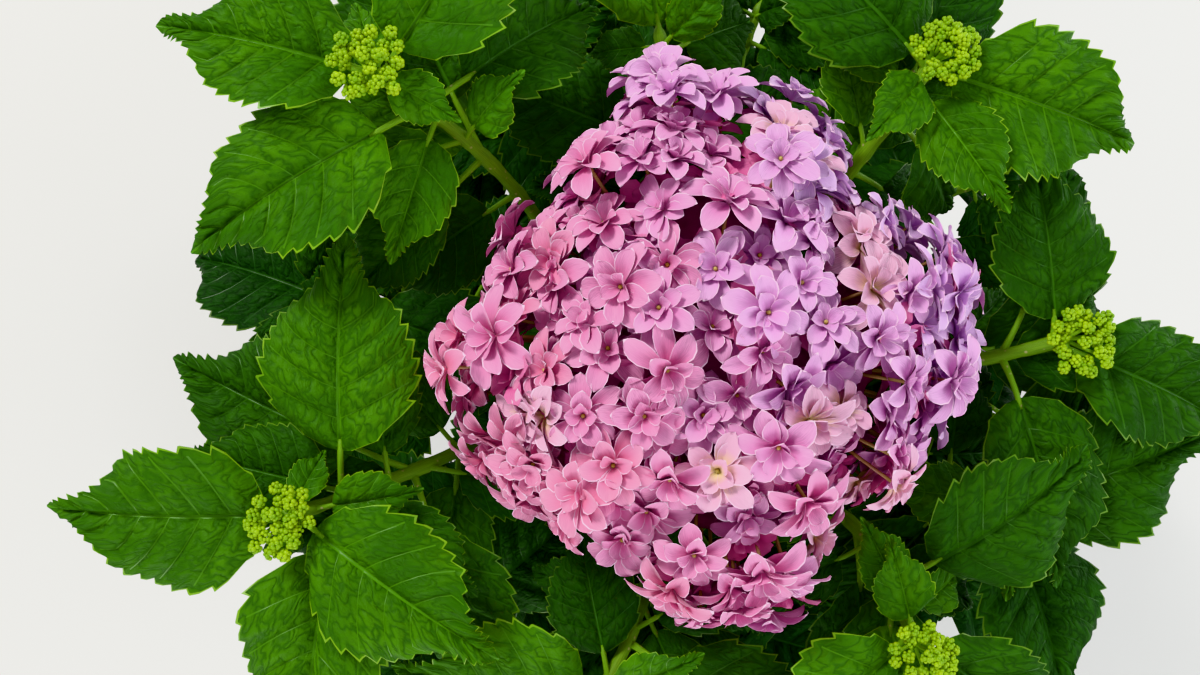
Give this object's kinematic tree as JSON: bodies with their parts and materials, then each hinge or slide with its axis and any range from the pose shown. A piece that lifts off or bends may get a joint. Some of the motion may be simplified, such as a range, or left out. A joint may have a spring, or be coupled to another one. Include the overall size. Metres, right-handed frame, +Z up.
{
  "type": "potted hydrangea shrub",
  "caption": "Mophead hydrangea with one large double-flowered pink head over toothed leafy shoots with green bud clusters, growing in a round nursery pot.",
  "frame": {"origin": "centre of the pot's flat underside", "axes": "+Z up; +X to the right and +Y to the top of the picture, which looks down on the plant"},
  "size_m": [0.6481, 0.6106, 0.5069],
  "materials": {
    "pot_wall": "satin moulded plastic, deep blue",
    "pot_lip": "glossy black moulded plastic",
    "growing_mix": "damp milled bark",
    "cane_bark": "pale flaking bark",
    "green_wood": "smooth green young wood",
    "leaf_bright": "satin leaf, bright yellow green",
    "leaf_deep": "satin leaf, deep green",
    "buds": "matte yellow green flower buds",
    "petals": "soft matte petals, pink to lilac, pale rims"
  },
  "bodies": {
    "root": {"pot": "pot_wall", "growing_mix": "growing_mix", "cane_1": "cane_bark", "cane_2": "cane_bark", "cane_3": "cane_bark", "cane_4": "cane_bark", "cane_5": "cane_bark", "cane_6": "cane_bark", "cane_7": "cane_bark", "cane_8": "cane_bark", "cane_9": "cane_bark", "upper_bough_1": "green_wood", "lower_bough_1": "green_wood", "upper_bough_2": "green_wood", "lower_bough_2": "green_wood", "upper_bough_3": "green_wood", "lower_bough_3": "green_wood", "upper_bough_4": "green_wood", "lower_bough_4": "green_wood", "upper_bough_5": "green_wood", "lower_bough_5": "green_wood", "upper_bough_6": "green_wood", "lower_bough_6": "green_wood", "upper_bough_7": "green_wood", "lower_bough_7": "green_wood", "upper_bough_8": "green_wood", "lower_bough_8": "green_wood", "upper_foliage_1": "leaf_bright", "lower_foliage_1": "leaf_deep", "upper_foliage_2": "leaf_bright", "lower_foliage_2": "leaf_deep", "upper_foliage_3": "leaf_bright", "lower_foliage_3": "leaf_deep", "upper_foliage_4": "leaf_bright", "lower_foliage_4": "leaf_deep", "upper_foliage_5": "leaf_bright", "lower_foliage_5": "leaf_deep", "upper_foliage_6": "leaf_bright", "lower_foliage_6": "leaf_deep", "upper_foliage_7": "leaf_bright", "lower_foliage_7": "leaf_deep", "upper_foliage_8": "leaf_bright", "lower_foliage_8": "leaf_deep", "flowering_shoot": "leaf_deep", "flower_head": "petals"}
  },
  "joints": []
}
